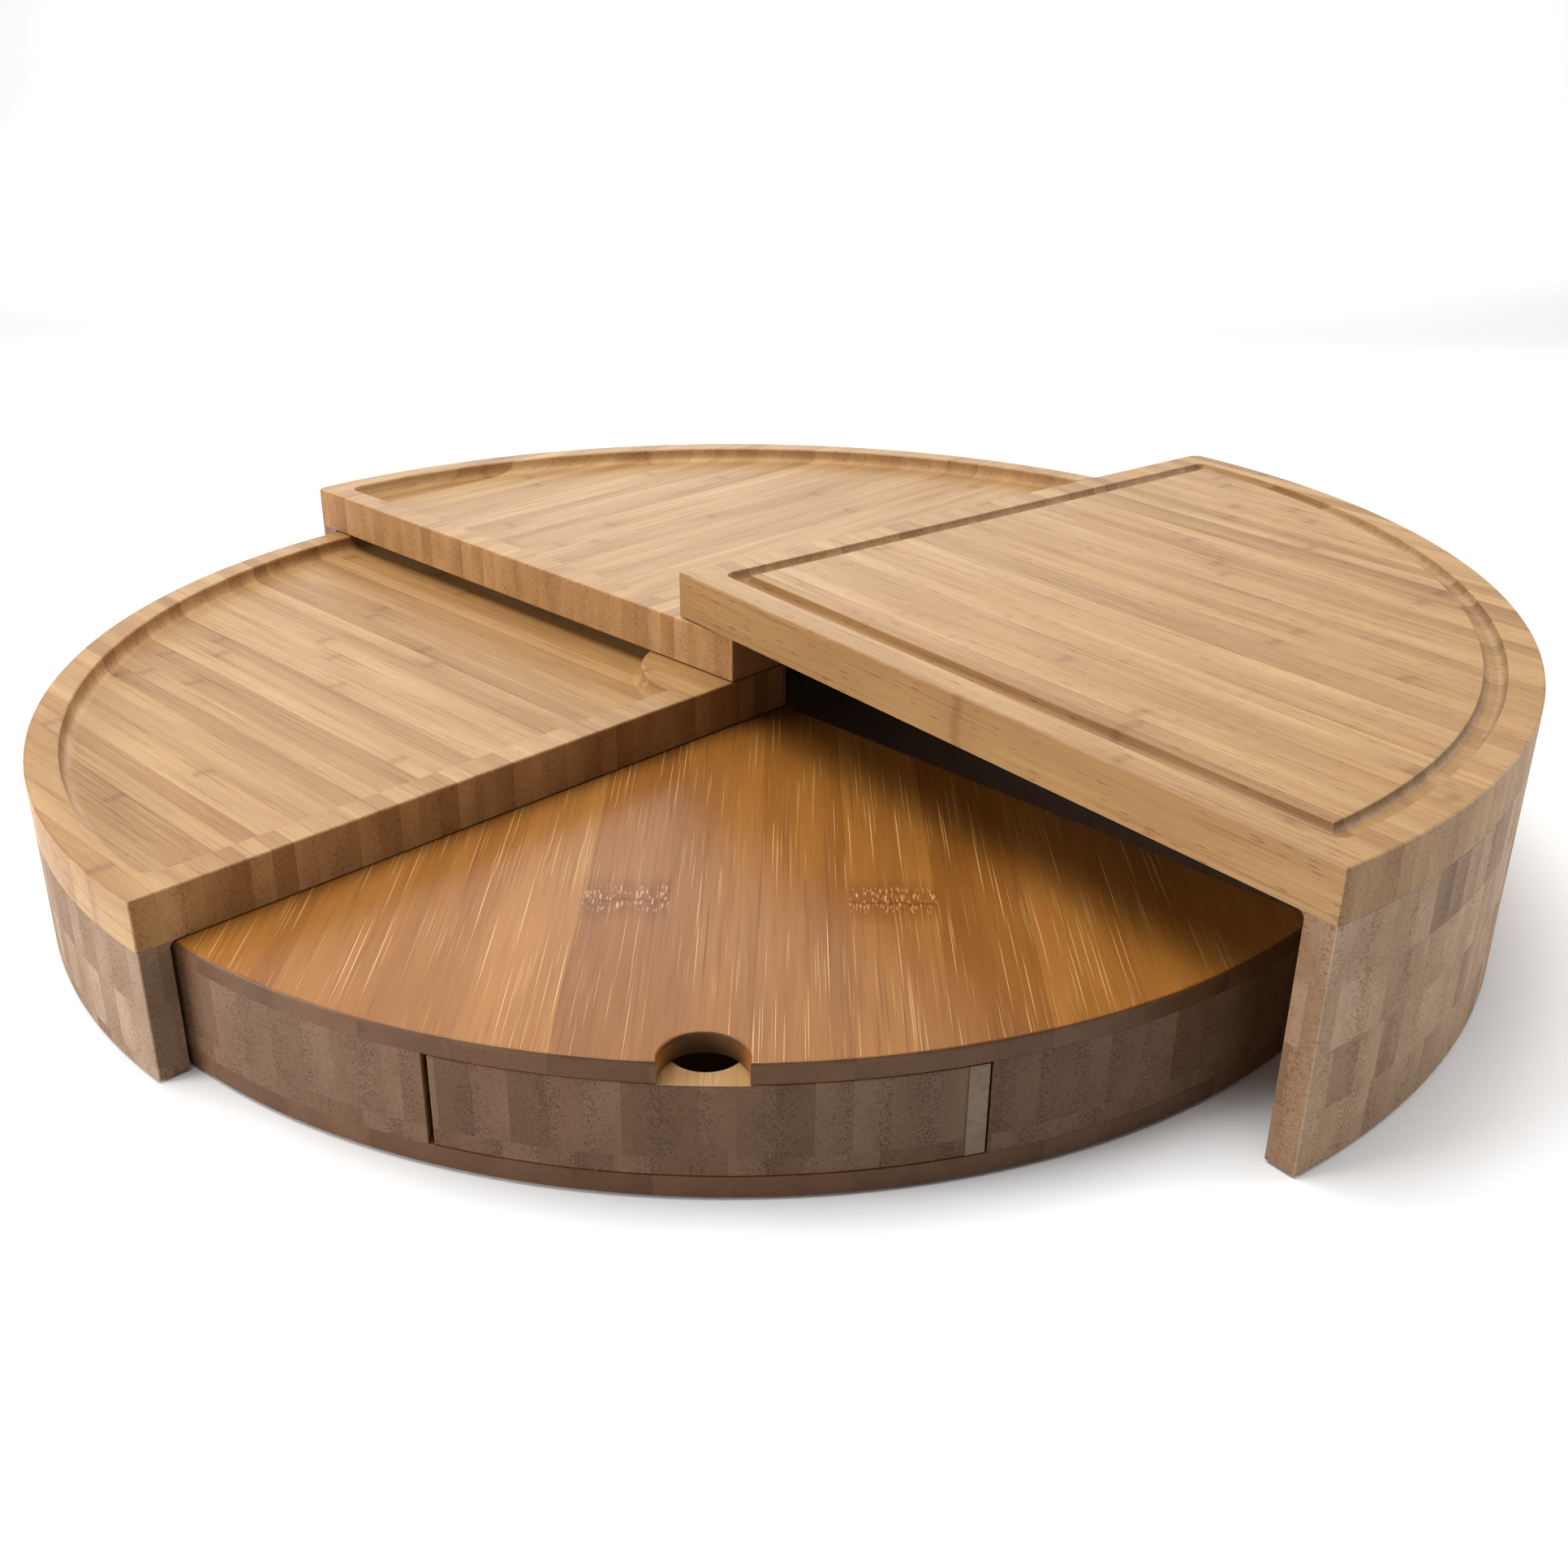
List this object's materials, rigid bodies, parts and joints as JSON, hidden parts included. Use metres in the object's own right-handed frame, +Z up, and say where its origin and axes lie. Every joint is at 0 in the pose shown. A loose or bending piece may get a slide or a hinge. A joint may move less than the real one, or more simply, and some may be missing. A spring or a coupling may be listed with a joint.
{
  "type": "swing-out serving board",
  "caption": "Tiered bamboo serving board: quarter-round trays and a cutting board swing out round a shared pivot above a base with a drawer.",
  "frame": {"origin": "centre of the opened board's footprint, on the table", "axes": "+Z up, -Y the way the drawer opens, +X to the right"},
  "size_m": [0.495, 0.473, 0.0902],
  "materials": {
    "side_pressed_bamboo": "oiled satin, narrow strips",
    "plain_bamboo": "lacquered satin, wide strips",
    "end_grain_bamboo": "matt, speckled blocks",
    "foot_rubber": "matt",
    "washer_nylon": "matt",
    "bolt_steel": "zinc plated",
    "insert_brass": "machined"
  },
  "bodies": {
    "base": {"base_bottom_sheet": "plain_bamboo", "base_left_block": "end_grain_bamboo", "base_right_block": "end_grain_bamboo", "base_apex_block": "end_grain_bamboo", "base_top_sheet": "plain_bamboo", "base_feet": "foot_rubber", "base_washer": "washer_nylon", "pivot_head_washer": "bolt_steel"},
    "left_tray": {"left_tray_plate": "side_pressed_bamboo", "left_tray_skirt": "end_grain_bamboo", "left_tray_washer": "washer_nylon"},
    "back_tray": {"back_tray_plate": "side_pressed_bamboo", "back_tray_skirt": "end_grain_bamboo", "back_tray_washer": "washer_nylon"},
    "cutting_board": {"cutting_board_plate": "side_pressed_bamboo", "cutting_board_skirt": "end_grain_bamboo", "pivot_insert": "insert_brass", "pivot_bolt": "bolt_steel"},
    "drawer": {"drawer_front": "end_grain_bamboo", "drawer_front_strip": "side_pressed_bamboo", "drawer_left_side": "side_pressed_bamboo", "drawer_right_side": "side_pressed_bamboo", "drawer_back": "side_pressed_bamboo", "drawer_floor": "plain_bamboo"}
  },
  "joints": [
    {"name": "left_tray_swing", "type": "hinge", "parent": "base", "child": "left_tray", "pos_m": [-0.0125, -0.0125, 0], "axis": [0, 0, 1], "range_deg": [-180, 180]},
    {"name": "back_tray_swing", "type": "hinge", "parent": "base", "child": "back_tray", "pos_m": [-0.0125, -0.0125, 0], "axis": [0, 0, 1], "range_deg": [-270, 90]},
    {"name": "cutting_board_swing", "type": "hinge", "parent": "base", "child": "cutting_board", "pos_m": [-0.0125, -0.0125, 0], "axis": [0, 0, 1], "range_deg": [-180, 180]},
    {"name": "drawer_slide", "type": "slide", "parent": "base", "child": "drawer", "axis": [0, -1, 0], "range_m": [0, 0.11]}
  ]
}
